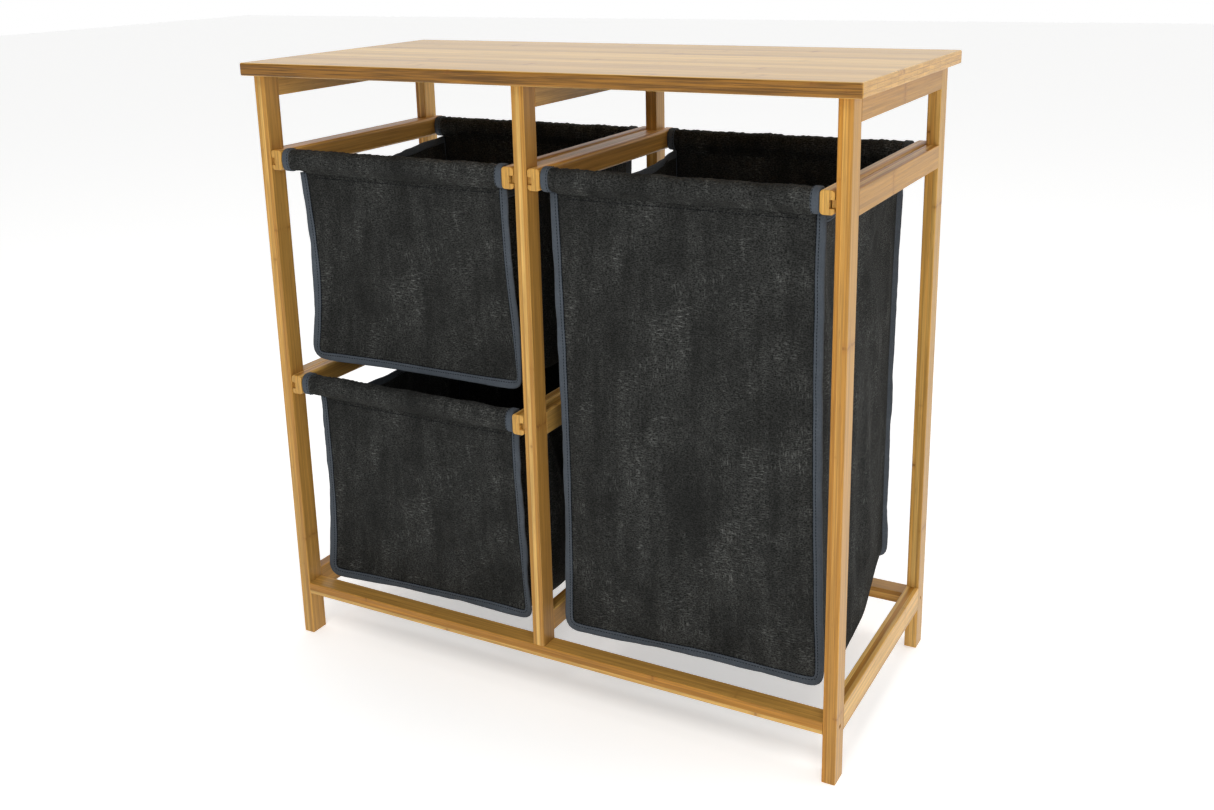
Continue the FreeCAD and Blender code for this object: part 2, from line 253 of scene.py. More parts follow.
class Shader:
    """Adds nodes to one material."""

    def __init__(self, name):
        self.material = bpy.data.materials.new(name)
        self.material.use_nodes = True
        self.tree = self.material.node_tree
        self.tree.nodes.clear()

    def add(self, kind, **settings):
        node = self.tree.nodes.new("ShaderNode" + kind)
        for key, value in settings.items():
            setattr(node, key, value)
        return node

    def feed(self, socket, value):
        if isinstance(value, bpy.types.NodeSocket):
            self.tree.links.new(value, socket)
        else:
            socket.default_value = value

    def math(self, operation, *values):
        node = self.add("Math", operation=operation)
        for socket, value in zip(node.inputs, values):
            self.feed(socket, value)
        return node.outputs[0]

    def vector(self, operation, *values):
        node = self.add("VectorMath", operation=operation)
        for socket, value in zip(node.inputs, values):
            self.feed(socket, value)
        return node.outputs[0]

    def join(self, x, y, z):
        node = self.add("CombineXYZ")
        for socket, value in zip(node.inputs, (x, y, z)):
            self.feed(socket, value)
        return node.outputs[0]

    def split(self, vector):
        node = self.add("SeparateXYZ")
        self.feed(node.inputs[0], vector)
        return list(node.outputs)

    def noise(self, vector, detail=2.0, rough=0.5):
        node = self.add("TexNoise")
        self.feed(node.inputs["Vector"], vector)
        node.inputs["Scale"].default_value = 1.0
        node.inputs["Detail"].default_value = detail
        node.inputs["Roughness"].default_value = rough
        return node.outputs["Fac"]

    def white(self, vector):
        node = self.add("TexWhiteNoise")
        self.feed(node.inputs["Vector"], vector)
        return node.outputs["Color"]

    def range(self, value, low, high, to_low=0.0, to_high=1.0):
        node = self.add("MapRange", interpolation_type="SMOOTHSTEP")
        for socket, number in zip(node.inputs, (value, low, high, to_low, to_high)):
            self.feed(socket, number)
        return node.outputs[0]

    def mix(self, factor, a, b, blend="MIX"):
        node = self.add("Mix", data_type="RGBA", blend_type=blend)
        self.feed(node.inputs[0], factor)
        self.feed(node.inputs[6], (*a, 1.0) if isinstance(a, tuple) else a)
        self.feed(node.inputs[7], (*b, 1.0) if isinstance(b, tuple) else b)
        return node.outputs[2]

    def grey(self, value):
        return self.join(value, value, value)

    def finish(self, color, roughness, height, depth, **constants):
        """The surface shader, with bumps depth metres deep, and settings that are the same all over."""
        bump = self.add("Bump")
        bump.inputs["Strength"].default_value = 1.0
        bump.inputs["Distance"].default_value = depth
        self.feed(bump.inputs["Height"], height)
        surface = self.add("BsdfPrincipled")
        self.feed(surface.inputs["Base Color"], color)
        self.feed(surface.inputs["Roughness"], roughness)
        self.feed(surface.inputs["Normal"], bump.outputs[0])
        for key, value in constants.items():
            surface.inputs[key.replace("_", " ")].default_value = value
        output = self.add("OutputMaterial")
        self.tree.links.new(surface.outputs[0], output.inputs[0])
        return self.material


BAMBOO = {}


def bamboo(grain, stack, start, strip, edge_dark, coat, painted_flat_light):
    """Lacquered laminated bamboo, its fibres along the grain axis and its strips stacked along another.

    The faces that show the strips' edges are darker than those that show their flats, and the flats are also
    painted paler, a painted light for how the top and the sides catch the light.
    """
    key = (grain, stack, round(start / MM, 1), strip, edge_dark)
    if key in BAMBOO:
        return BAMBOO[key]
    made = Shader("bamboo_%s%s_%d" % ("XYZ"[grain], "XYZ"[stack], len(BAMBOO)))
    where = made.split(made.add("TexCoord").outputs["Object"])
    wide = 3 - grain - stack
    g = where[grain]
    drift = made.noise(made.join(made.math("MULTIPLY", g, 5.0), where[stack], where[wide]), 1.0)
    drift = made.math("MULTIPLY", made.math("SUBTRACT", drift, 0.5), 1.2 * MM)
    a = made.math("SUBTRACT", where[stack], start)
    b = made.math("ADD", where[wide], drift)

    # which strip a point is in, and that strip's own random numbers
    layer = made.math("FLOOR", made.math("DIVIDE", a, LAMINA))
    lane = made.math("FLOOR", made.math("DIVIDE", made.math("ADD", b, 3.0 * MM), strip))
    place = round(start / MM, 1) * 0.37
    first, second, third = made.split(made.white(made.join(layer, lane, place)))

    # long fibres, broader streaks and short dark flecks, all drawn out along the grain
    def along(pace, across):
        return made.join(made.math("MULTIPLY", g, pace), made.math("MULTIPLY", a, across),
                         made.math("MULTIPLY", made.math("ADD", b, first), across))
    fibre = made.noise(along(9.0, 1500.0), 2.0, 0.6)
    strand = made.noise(along(11.0, 420.0), 2.0, 0.65)
    streak = made.noise(along(3.0, 260.0), 3.0, 0.6)
    cloud = made.noise(along(2.6, 60.0), 3.0, 0.6)
    fleck = made.range(made.noise(along(45.0, 1100.0), 1.0), 0.66, 0.76)

    # a node every so often along each strip: a thin dark line in a reddish stain
    bend = made.noise(made.join(layer, made.math("MULTIPLY", b, 190.0), lane), 1.0)
    bent = made.math("ADD", g, made.math("MULTIPLY", bend, 7.0 * MM))
    reach = made.math("ADD", made.math("DIVIDE", bent, NODE_EVERY), made.math("MULTIPLY", second, 5.0))
    off = made.math("MULTIPLY", made.math("SUBTRACT", made.math("FRACT", reach), 0.5), NODE_EVERY)
    gap = made.math("ABSOLUTE", off)
    strength = made.range(third, 0.1, 0.9, 0.25, 1.0)
    ring = made.range(gap, 0.4 * MM, 2.4 * MM, 1.0, 0.0)
    broken = made.math("MULTIPLY", strength, made.range(streak, 0.40, 0.60, 0.15, 1.0))
    ring = made.math("MULTIPLY", ring, broken)
    stain = made.range(gap, 1.0 * MM, 10.0 * MM, 1.0, 0.0)
    stain = made.math("MULTIPLY", stain, made.math("MULTIPLY", strength, made.range(streak, 0.36, 0.60)))

    # which way the face looks: at the strips' flats, their edges or their ends
    facing = made.split(made.add("TexCoord").outputs["Normal"])
    on_flat = made.range(made.math("ABSOLUTE", facing[stack]), 0.5, 0.9)
    on_end = made.range(made.math("ABSOLUTE", facing[grain]), 0.5, 0.9)

    # colours
    pick = made.range(first, 0.2, 0.8)
    tone = made.mix(pick, WOOD_DARK, WOOD_PALE)
    tone = made.mix(made.range(cloud, 0.38, 0.66, 0.0, 0.55), tone, WOOD_RED)
    # painted light: the faces that show the strips' flats are painted paler, as if lit
    tone = made.mix(made.math("MULTIPLY", on_flat, painted_flat_light), tone, WOOD_LIT_FLAT)
    tone = made.mix(made.math("MULTIPLY", on_end, 0.85), tone, WOOD_END)
    light = made.math("MULTIPLY", made.range(streak, 0.30, 0.70, 0.80, 1.14),
                      made.range(fibre, 0.30, 0.70, 0.88, 1.08))
    deep = 0.8 * edge_dark
    lined = made.math("MULTIPLY", light, made.range(strand, 0.36, 0.62, 0.86 - deep, 1.07 + deep / 2.0))
    light = made.math("MULTIPLY", light, made.range(strand, 0.36, 0.62, 0.86, 1.07))
    light = made.mix(made.math("SUBTRACT", 1.0, on_flat), made.grey(light), made.grey(lined))
    butt = made.join(0.0, made.math("MULTIPLY", a, 420.0), made.math("MULTIPLY", b, 30.0))
    butt = made.noise(butt, 3.0, 0.6)
    light = made.mix(on_end, light, made.grey(made.range(butt, 0.3, 0.7, 0.78, 1.14)))
    on_edge = made.math("MULTIPLY", made.math("SUBTRACT", 1.0, on_flat), made.math("SUBTRACT", 1.0, on_end))
    darker = made.math("SUBTRACT", 1.0, made.math("MULTIPLY", on_edge, edge_dark))
    tone = made.mix(1.0, tone, light, "MULTIPLY")
    tone = made.mix(1.0, tone, made.grey(darker), "MULTIPLY")
    tone = made.mix(made.math("MULTIPLY", fleck, 0.40), tone, (0.22, 0.085, 0.018))
    tone = made.mix(made.math("MULTIPLY", stain, 0.42), tone, (0.34, 0.120, 0.022))
    tone = made.mix(made.math("MULTIPLY", ring, 0.60), tone, (0.15, 0.050, 0.010))

    # the glue lines between strips
    inside = made.math("FRACT", made.math("DIVIDE", a, LAMINA))
    edge = made.math("MULTIPLY", made.math("MINIMUM", inside, made.math("SUBTRACT", 1.0, inside)), LAMINA)
    beside = made.math("FRACT", made.math("DIVIDE", made.math("ADD", b, 3.0 * MM), strip))
    side = made.math("MULTIPLY", made.math("MINIMUM", beside, made.math("SUBTRACT", 1.0, beside)), strip)
    glue = made.range(made.math("MINIMUM", edge, side), 0.05 * MM, 0.35 * MM, 1.0, 0.0)
    show = made.math("ADD", made.math("MULTIPLY", third, 0.40), made.math("MULTIPLY", on_end, 0.35))
    tone = made.mix(made.math("MULTIPLY", glue, made.math("ADD", show, 0.12)), tone, (0.22, 0.085, 0.018))

    rough = made.math("ADD", made.math("MULTIPLY", fibre, 0.20), 0.30)
    height = made.math("SUBTRACT", made.math("ADD", fibre, made.math("MULTIPLY", streak, 0.8)),
                       made.math("ADD", glue, made.math("MULTIPLY", ring, 0.8)))
    BAMBOO[key] = made.finish(tone, rough, height, 0.10 * MM, Coat_Weight=coat, Coat_Roughness=0.18,
                              Specular_IOR_Level=0.25)
    return BAMBOO[key]


def beech():
    """Plain beech, for the hidden dowels."""
    made = Shader("dowel_beech")
    where = made.add("TexCoord").outputs["Object"]
    pores = made.noise(made.vector("MULTIPLY", where, (1400.0, 60.0, 1400.0)), 2.0, 0.6)
    cloud = made.noise(made.vector("MULTIPLY", where, (200.0, 12.0, 200.0)), 2.0)
    tone = made.mix(cloud, (0.56, 0.36, 0.19), (0.68, 0.47, 0.27))
    tone = made.mix(made.range(pores, 0.58, 0.70, 0.0, 0.5), tone, (0.30, 0.16, 0.07))
    rough = made.math("ADD", made.math("MULTIPLY", pores, 0.2), 0.5)
    return made.finish(tone, rough, pores, 0.06 * MM)


def zinc():
    """Dark zinc plate with fine turning marks."""
    made = Shader("screw_zinc")
    where = made.add("TexCoord").outputs["Object"]
    marks = made.noise(made.vector("MULTIPLY", where, (2500.0, 300.0, 2500.0)), 3.0, 0.6)
    cloud = made.noise(made.vector("MULTIPLY", where, (160.0, 160.0, 160.0)), 2.0)
    tone = made.mix(cloud, (0.20, 0.20, 0.21), (0.38, 0.38, 0.40))
    rough = made.math("ADD", made.math("MULTIPLY", marks, 0.25), 0.28)
    return made.finish(tone, rough, marks, 0.03 * MM, Metallic=1.0)


def woven(name, dark, pale, thread, melange, slubbed, depth, sheen, twill=0.0):
    """Woven cloth of threads that wide, each thread with its own drifting shade."""
    made = Shader(name)
    spot = made.add("Attribute", attribute_name="thread").outputs["Vector"]
    u, v, _ = made.split(spot)
    row = made.math("DIVIDE", v, thread)
    col = made.math("ADD", made.math("DIVIDE", u, thread), made.math("MULTIPLY", row, twill))

    # over and under: a warp thread shows where the weave's checks are dark
    up = made.math("SINE", made.math("MULTIPLY", col, math.pi))
    over = made.math("SINE", made.math("MULTIPLY", row, math.pi))
    weave = made.math("MULTIPLY", up, over)
    warp_on_top = made.range(weave, -0.15, 0.15)
    crown = made.math("MULTIPLY", made.math("ABSOLUTE", up), made.math("ABSOLUTE", over))

    # each thread's shade drifts along it
    warp_id = made.math("FLOOR", col)
    weft_id = made.math("FLOOR", row)
    warp = made.join(made.math("MULTIPLY", warp_id, 3.7), made.math("MULTIPLY", v, 260.0), 0.0)
    weft = made.join(made.math("MULTIPLY", u, 260.0), made.math("MULTIPLY", weft_id, 3.7), 9.0)
    warp, weft = made.noise(warp, 2.0, 0.6), made.noise(weft, 2.0, 0.6)
    shade = made.math("ADD", made.math("MULTIPLY", warp_on_top, made.math("SUBTRACT", warp, weft)), weft)
    coarse = made.noise(made.vector("MULTIPLY", spot, (420.0, 900.0, 1.0)), 2.0, 0.6)
    shade = made.math("ADD", made.math("MULTIPLY", shade, 0.5), made.math("MULTIPLY", coarse, 0.5))
    shade = made.range(shade, 0.5 - 0.20 / melange, 0.5 + 0.26 / melange)

    # short pale slubs along the threads, thick in some places and few in others, and long soft streaks
    def patchy(pace, detail, rough, *ends):
        return made.range(made.noise(made.vector("MULTIPLY", spot, pace), detail, rough), *ends)
    weft_slub = patchy((130.0, 620.0, 1.0), 2.0, 0.65, 0.52, 0.68)
    warp_slub = patchy((620.0, 110.0, 1.0), 2.0, 0.65, 0.52, 0.68)
    weft_patch = patchy((16.0, 12.0, 1.0), 3.0, 0.7, 0.47, 0.66)
    warp_patch = patchy((13.0, 18.0, 5.0), 3.0, 0.7, 0.48, 0.68)
    slubs = made.math("ADD", made.math("MULTIPLY", weft_slub, made.math("ADD", weft_patch, 0.15)),
                      made.math("MULTIPLY", warp_slub, made.math("MULTIPLY", warp_patch, 0.9)))
    streaks = patchy((75.0, 7.0, 3.0), 2.0, 0.5, 0.35, 0.65, 0.74, 1.12)
    blotch = patchy((17.0, 11.0, 9.0), 4.0, 0.65, 0.32, 0.68, 0.50, 1.0)
    shade = made.math("ADD", made.math("MULTIPLY", shade, 0.42), made.math("MULTIPLY", slubs, slubbed))
    shade = made.math("MULTIPLY", shade, made.math("MULTIPLY", blotch, streaks))
    tone = made.mix(shade, dark, pale)
    lit = made.math("ADD", made.math("MULTIPLY", crown, 0.35), 0.75)
    tone = made.mix(1.0, tone, made.grey(lit), "MULTIPLY")

    height = made.math("ADD", crown, made.math("MULTIPLY", coarse, 0.8))
    rough = made.math("ADD", made.math("MULTIPLY", shade, 0.15), 0.78)
    return made.finish(tone, rough, height, depth, Sheen_Weight=sheen, Sheen_Roughness=0.5,
                       Specular_IOR_Level=0.05)


CHARCOAL = woven("charcoal_cloth", (0.010, 0.0105, 0.010), (0.185, 0.188, 0.178), thread=0.62 * MM,
                 melange=2.2, slubbed=0.60, depth=0.16 * MM, sheen=0.0)
SLATE_TAPE = woven("slate_tape", (0.070, 0.083, 0.100), (0.200, 0.230, 0.265), thread=0.55 * MM,
                   melange=1.0, slubbed=0.2, depth=0.12 * MM, sheen=0.05, twill=0.5)
# the stitch thread, near-black partly as painted shadow: its wide row in the groove stands for the shadow
# beside the tape
THREAD_AND_GROOVE_SHADOW = woven("slate_thread_and_groove_shadow", (0.006, 0.007, 0.009), (0.020, 0.024, 0.030), thread=0.30 * MM,
                     melange=1.0, slubbed=0.1, depth=0.05 * MM, sheen=0.0)


# ---------------------------------------------------------------- wood and screws

BOARD_EDGE_DARK = 0.40
LATH_EDGE_DARK = 0.0
BOARD_COAT = 0.35
LATH_COAT = 0.1
# how far the flats are painted towards the paler lit colour: painted light
BOARD_FLAT_PAINTED_LIGHT = 0.86
LATH_FLAT_PAINTED_LIGHT = 0.40
BOARDS = {
    "top_board": (0, 2, BOARD_STRIP),
    "front_stretcher": (0, 2, LATH_STRIP),
    "back_stretcher": (0, 2, LATH_STRIP),
}


def grain_of(name):
    """The grain axis, the axis the strips are stacked along, and how wide the strips are."""
    if name in BOARDS:
        return BOARDS[name]
    if name.endswith("_post"):
        return 2, 0, LATH_STRIP
    if name.endswith("_bar"):
        return 0, 1, LATH_STRIP
    return 1, 0, LATH_STRIP


def finish_wood():
    hidden, plated = beech(), zinc()
    for name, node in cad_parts.items():
        if name.endswith("_bag"):
            continue
        if name.endswith("_dowels"):
            finish = hidden
        elif name.endswith("_screws"):
            finish = plated
        else:
            grain, stack, strip = grain_of(name)
            look = LATH_EDGE_DARK, LATH_COAT, LATH_FLAT_PAINTED_LIGHT
            if name == "top_board":
                look = BOARD_EDGE_DARK, BOARD_COAT, BOARD_FLAT_PAINTED_LIGHT
            finish = bamboo(grain, stack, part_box(name)[0][stack], strip, *look)
        for place in node.material_slots:
            place.material = finish


# ---------------------------------------------------------------- bags

class Bag:
    """One bag's driving sizes, from the CAD's bars and rails, and its cloth as a net of points."""

    def __init__(self, drawer, insets, low, lift, sag, seed):
        self.drawer, self.body, self.seed = drawer, drawer + "_drawer", seed
        rail = {side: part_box("%s_drawer_%s_rail" % (drawer, side)) for side in ("left", "right")}
        bar = {side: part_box("%s_drawer_%s_bar" % (drawer, side)) for side in ("front", "back")}
        self.x0, self.x1 = rail["left"][1].x, rail["right"][0].x
        self.bars = {side: (first + last) / 2.0 for side, (first, last) in bar.items()}
        self.top = self.bars["front"].z - TOP_DROP
        self.rims = {side: self.bars[side].z - RIM_DROP[side] for side in self.bars}
        self.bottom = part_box(drawer + "_bag")[0].z
        self.insets = {key: np.array(three) * MM for key, three in insets.items()}
        self.low, self.lift, self.sag = np.array(low) * MM, lift, sag
        self.build_net()

    def outline(self, side):
        """The front or back panel's left edge, bottom and right edge, as lines of (x, z)."""
        behind = side == "back"
        reach = BAG_CORNER
        turn = np.linspace(0.0, math.pi / 4.0, 8)
        lines, corners = [], []
        ends = ("left", self.low[0], self.x0, 1.0), ("right", self.low[1], self.x1, -1.0)
        for end, low, start, way in ends:
            foot = self.bottom + low + (self.lift if behind else 0.0)
            z = np.linspace(self.top, foot + reach, 60)
            f = (self.top - z) / (self.top - foot)
            top, middle, last = self.insets[side + "_" + end]
            inset = top * (1 - f) * (1 - 2 * f) + 4 * middle * f * (1 - f) + last * f * (2 * f - 1)
            x = start + way * inset
            arc = np.stack([x[-1] + way * reach * (1 - np.cos(turn)), z[-1] - reach * np.sin(turn)], axis=1)
            rest = np.stack([x[-1] + way * reach * (1 - np.cos(turn + math.pi / 4)),
                             z[-1] - reach * np.sin(turn + math.pi / 4)], axis=1)
            lines.append(np.vstack([np.stack([x, z], axis=1), arc[1:]]))
            corners.append(rest)
        across = np.linspace(0.0, 1.0, 40)[1:-1, None]
        low = corners[0][-1] * (1 - across) + corners[1][-1] * across
        low[:, 1] -= SEAM_DIP * np.sin(math.pi * across[:, 0])
        return lines[0], np.vstack([corners[0], low, corners[1][::-1]]), lines[1]

    def panel(self, side):
        """The front or back panel as a grid of points: it leans in towards the bottom."""
        left, low, right = self.outline(side)
        rim = self.rims[side]
        left = np.vstack([left[:1], spaced(self.below(left, rim), self.rows - 1)])
        right = np.vstack([right[:1], spaced(self.below(right, rim), self.rows - 1)])
        low, high = spaced(low, self.cols), spaced(np.stack([left[0], right[0]]), self.cols)
        u = np.linspace(0, 1, self.cols + 1)[None, :, None]
        v = np.linspace(0, 1, self.rows + 1)[:, None, None]
        corners = ((1 - u) * (1 - v) * left[0] + u * (1 - v) * right[0]
                   + (1 - u) * v * left[-1] + u * v * right[-1])
        flat = (1 - v) * high[None] + v * low[None] + (1 - u) * left[:, None] + u * right[:, None] - corners
        f = np.clip((self.top - flat[..., 1]) / (self.top - self.bottom), 0.0, 1.0)
        inward = 1.0 if side == "front" else -1.0
        y = self.bars[side].y + inward * (HANG_IN + LEAN * smooth(f * 0.75) / smooth(0.75))
        return np.stack([flat[..., 0], y, flat[..., 1]], axis=-1)

    def build_net(self):
        """One net of points: the front panel, the back panel, then the strip round the sides and bottom."""
        left, low, _ = self.outline("front")
        self.rows = max(8, round(run_along(left)[-1] / CELL))
        self.cols = round(run_along(low)[-1] / CELL)
        self.deep = round((self.bars["back"].y - self.bars["front"].y) / CELL)
        front, back = self.panel("front"), self.panel("back")
        count = (self.rows + 1) * (self.cols + 1)
        self.front_ids = np.arange(count).reshape(self.rows + 1, self.cols + 1)
        self.back_ids = self.front_ids + count
        seam = self.seam_ids(self.front_ids)[1:-1]
        inner = self.deep - 1
        strip = np.arange(len(seam) * inner).reshape(len(seam), inner) + 2 * count
        self.strip_ids = np.hstack([seam[:, None], strip, (seam + count)[:, None]])
        start, end = front.reshape(-1, 3)[seam], back.reshape(-1, 3)[seam]
        t = np.linspace(0, 1, self.deep + 1)[1:-1]
        sides = start[:, None] + (end - start)[:, None] * t[None, :, None]

        # the rims and the bottom sag between the front and the back, stiffer by the seams
        rim = self.rims["front"]
        f = np.clip((rim - start[:, 2]) / (rim - self.bottom), 0.0, 1.0)[:, None]
        bow = (4 * t * (1 - t))[None]
        trough = (smooth(t / 0.36) * smooth((1 - t) / 0.36))[None]
        sides[..., 2] -= bow * RIM_SAG * smooth(1 - 4 * f) + trough * self.sag * smooth(f * 1.8 - 0.8)
        way = np.sign(start[:, :1] - (self.x0 + self.x1) / 2)
        bulge = np.sin(math.pi * f) * SIDE_BULGE * way
        sides[..., 0] += bow * bulge
        self.rest = np.vstack([front.reshape(-1, 3), back.reshape(-1, 3), sides.reshape(-1, 3)])
        self.points = self.rest.copy()

    @staticmethod
    def below(line, rim):
        """The part of a panel's side edge that is below the side panel's rim."""
        start = np.interp(-rim, -line[:, 1], line[:, 0]), rim
        return np.vstack([start, line[line[:, 1] < rim - 0.5 * MM]])

    @staticmethod
    def seam_ids(grid):
        """The panel's edge points in order: down its left side, along the bottom and up its right side."""
        return np.concatenate([grid[:, 0], grid[-1, 1:-1], grid[::-1, -1]])

    def quads(self):
        found = []
        for grid, flip in ((self.front_ids, True), (self.back_ids, False), (self.strip_ids, False)):
            q = np.stack([grid[:-1, :-1], grid[:-1, 1:], grid[1:, 1:], grid[1:, :-1]], axis=-1)
            q = q.reshape(-1, 4)
            found += (q[:, ::-1] if flip else q).tolist()
        return found

    def cloth_object(self):
        """The whole net as one mesh for the simulation, its hems pinned."""
        draw = np.random.default_rng(self.seed)
        start = self.rest + draw.normal(0.0, 0.5 * MM, self.rest.shape)
        mesh = bpy.data.meshes.new("sim_" + self.drawer)
        pins = np.concatenate([self.front_ids[:2].ravel(), self.back_ids[:2].ravel()])
        start[pins] = self.rest[pins]
        mesh.from_pydata(start.tolist(), [], self.quads())
        piece = bpy.data.objects.new("sim_" + self.drawer, mesh)
        bpy.context.scene.collection.objects.link(piece)
        piece.vertex_groups.new(name="pins").add(pins.tolist(), 1.0, "REPLACE")
        cloth = piece.modifiers.new("cloth", "CLOTH")
        rules = cloth.settings
        rules.vertex_group_mass = "pins"
        rules.quality = 6
        rules.mass = 0.02
        rules.tension_stiffness = 60.0
        rules.compression_stiffness = 60.0
        rules.shear_stiffness = 25.0
        rules.bending_stiffness = 2.0
        rules.tension_damping = 12.0
        rules.compression_damping = 12.0
        rules.shear_damping = 12.0
        rules.bending_damping = 1.0
        rules.air_damping = 2.0
        rules.shrink_min = -0.006
        cloth.collision_settings.use_collision = False
        cloth.collision_settings.use_self_collision = False
        cloth.point_cache.frame_start = 1
        cloth.point_cache.frame_end = SIM_FRAMES
        return piece

    def take(self, piece):
        """The simulated net's points, held within a cap of the pattern."""
        shown = piece.evaluated_get(bpy.context.evaluated_depsgraph_get()).to_mesh()
        found = np.empty(len(shown.vertices) * 3)
        shown.vertices.foreach_get("co", found)
        move = found.reshape(-1, 3) - self.rest
        far = np.linalg.norm(move, axis=1, keepdims=True)
        print("bag", self.drawer, "moved mm", np.round(far.mean() / MM, 1), np.round(far.max() / MM, 1))
        move = move * (SIM_CAP * np.tanh(far / SIM_CAP) / np.maximum(far, 1e-9))
        self.hold_corners(move)
        for grid in (self.front_ids, self.back_ids):
            self.ease_seam(move, grid)
        self.points = self.rest + move + self.creases()

    def hold_corners(self, move):
        """Keeps the bottom's two long edges out, where the seam allowances stiffen them."""
        ids = self.strip_ids
        place = np.arange(len(ids))
        corner = self.rows - 1
        away = np.minimum(np.abs(place - corner), np.abs(place - (len(ids) - 1 - corner))) * CELL
        keep = 1.0 - CORNER_KEEP * np.exp(-((away / CORNER_HOLD) ** 2))
        move[ids] *= keep[:, None, None]

    def creases(self):
        """Soft folds that a limp panel keeps: long and upright on the sides, faint on the front and back."""
        extra = np.zeros_like(self.rest)
        for grid, seed in ((self.front_ids, 1), (self.back_ids, 2)):
            p = self.rest[grid]
            rows, cols = grid.shape
            r, c = np.meshgrid(np.linspace(0, 1, rows), np.linspace(0, 1, cols), indexing="ij")
            fade = smooth(r * 5) * smooth((1 - r) * 6) * smooth(c * 6) * smooth((1 - c) * 6)
            fold = ripple(p[..., 0], p[..., 2], *FRONT_FOLD_WAVES, self.seed + seed)
            extra[grid, 1] = fold * fade * FRONT_FOLD
        ids = self.strip_ids
        p = self.rest[ids]
        k, t = np.meshgrid(np.arange(len(ids)), np.linspace(0, 1, ids.shape[1]), indexing="ij")
        height = np.minimum(k, len(ids) - 1 - k) / (self.rows - 1.0)
        fade = smooth(t * 5) * smooth((1 - t) * 5) * smooth(height * 6) * (1 - smooth((height - 0.75) * 5))
        fold = ripple(p[..., 1] + SIDE_FOLD_SLANT * p[..., 2], p[..., 2], *SIDE_FOLD_WAVES, self.seed + 3)
        way = np.sign(p[..., 0] - (self.x0 + self.x1) / 2)
        extra[ids, 0] += fold * fade * SIDE_FOLD * way
        return extra

    def ease_seam(self, move, grid):
        """Evens out the bound edge of a panel, which its tape stiffens, and the cloth beside it."""
        seam = self.seam_ids(grid)
        reach = np.arange(-14, 15)
        weights = np.exp(-0.5 * (reach / SEAM_EASE) ** 2)
        near = np.clip(np.arange(len(seam))[:, None] + reach, 0, len(seam) - 1)
        even = (move[seam][near] * weights[None, :, None]).sum(1) / weights.sum() * SEAM_GIVE
        change = np.zeros_like(move)
        change[seam] = even - move[seam]
        rows, cols = grid.shape
        r, c = np.meshgrid(np.arange(rows), np.arange(cols), indexing="ij")
        steps_in = c, cols - 1 - c, rows - 1 - r
        pulls = [np.exp(-steps / SEAM_FADE) for steps in steps_in]
        sources = [change[grid[:, 0]][r], change[grid[:, -1]][r], change[grid[-1]][c]]
        total = sum(p[..., None] * x for p, x in zip(pulls, sources)) / sum(pulls)[..., None]
        total *= np.maximum.reduce(pulls)[..., None]
        inner = np.ones(grid.shape, bool)
        inner[:, 0] = inner[:, -1] = inner[-1] = inner[:2] = False
        move[grid[inner]] += total[inner]
        move[seam] = even
        move[grid[:2]] = 0.0


def hang(bags):
    """Lets the nets hang under gravity, all at once."""
    scene = bpy.context.scene
    scene.frame_start, scene.frame_end = 1, SIM_FRAMES
    pieces = [bag.cloth_object() for bag in bags]
    for step in range(1, SIM_FRAMES + 1):
        scene.frame_set(step)
    for bag, piece in zip(bags, pieces):
        bag.take(piece)
    for piece in pieces:
        mesh = piece.data
        bpy.data.objects.remove(piece)
        bpy.data.meshes.remove(mesh)
    scene.frame_set(1)


def flat_places(points):
    """Where each point of a grid lies on its flat cloth, from the mean lengths of its columns and rows."""
    across = np.linalg.norm(np.diff(points, axis=1), axis=2).mean(axis=0)
    down = np.linalg.norm(np.diff(points, axis=0), axis=2).mean(axis=1)
    u, v = np.concatenate([[0], np.cumsum(across)]), np.concatenate([[0], np.cumsum(down)])
    return np.stack(np.meshgrid(u, v), axis=-1)


def panel_object(bag, name, ids, flip):
    """One cloth panel, smoothed and given its thickness; returns it with its flat width and length."""
    points = bag.points[ids]
    thread = flat_places(bag.rest[ids])
    if flip:
        points, thread = points[:, ::-1], thread[:, ::-1]
    pile = Pile()
    pile.grid(points, thread)
    piece = pile.build(name, CHARCOAL, bag.body, "bag_cloth")
    round_off = piece.modifiers.new("smooth", "SUBSURF")
    round_off.levels = round_off.render_levels = 1
    round_off.boundary_smooth = "PRESERVE_CORNERS"
    thick = piece.modifiers.new("thickness", "SOLIDIFY")
    thick.thickness = CLOTH
    thick.offset = 0.0
    size = thread[..., 0].max(), thread[..., 1].max()
    return piece, size


def stitch_row(pile, line, normal, seed, long=STITCH_LONG, wide=STITCH_WIDE):
    """Short raised stitches along a line that lies on a surface with that normal."""
    along = run_along(line)
    total = along[-1]
    count = int(total / STITCH_STEP)
    at = (np.arange(count) + 0.5) * total / count
    draw = np.random.default_rng(seed)

    def pick(values):
        return np.stack([np.interp(at, along, values[:, k]) for k in range(3)], axis=1)
    middle, ahead = pick(line), unit(pick(np.gradient(line, along, axis=0)))
    out = unit(pick(normal))
    across = unit(np.cross(ahead, out))
    angle = np.radians(draw.normal(0.0, 5.0, count))[:, None]
    ahead = ahead * np.cos(angle) + across * np.sin(angle)
    across = unit(np.cross(ahead, out))
    turns = np.linspace(0, 2 * math.pi, 7)[:-1]
    for m, t, n, s in zip(middle, ahead, out, across):
        rings = []
        for where, size in ((-0.5, 0.35), (-0.36, 0.85), (0.0, 1.0), (0.36, 0.85), (0.5, 0.35)):
            ring = np.cos(turns)[:, None] * s * wide + np.sin(turns)[:, None] * n * STITCH_WIDE * 0.8
            ring = ring / 2 * size
            rings.append(m + t * long * where + ring + n * 0.12 * MM * (1 - abs(where)))
        rings = np.array(rings)
        places = tube_thread(np.linspace(0, long, 5), rings[2])
        pile.grid(rings, places, wrap=True, capped=True)


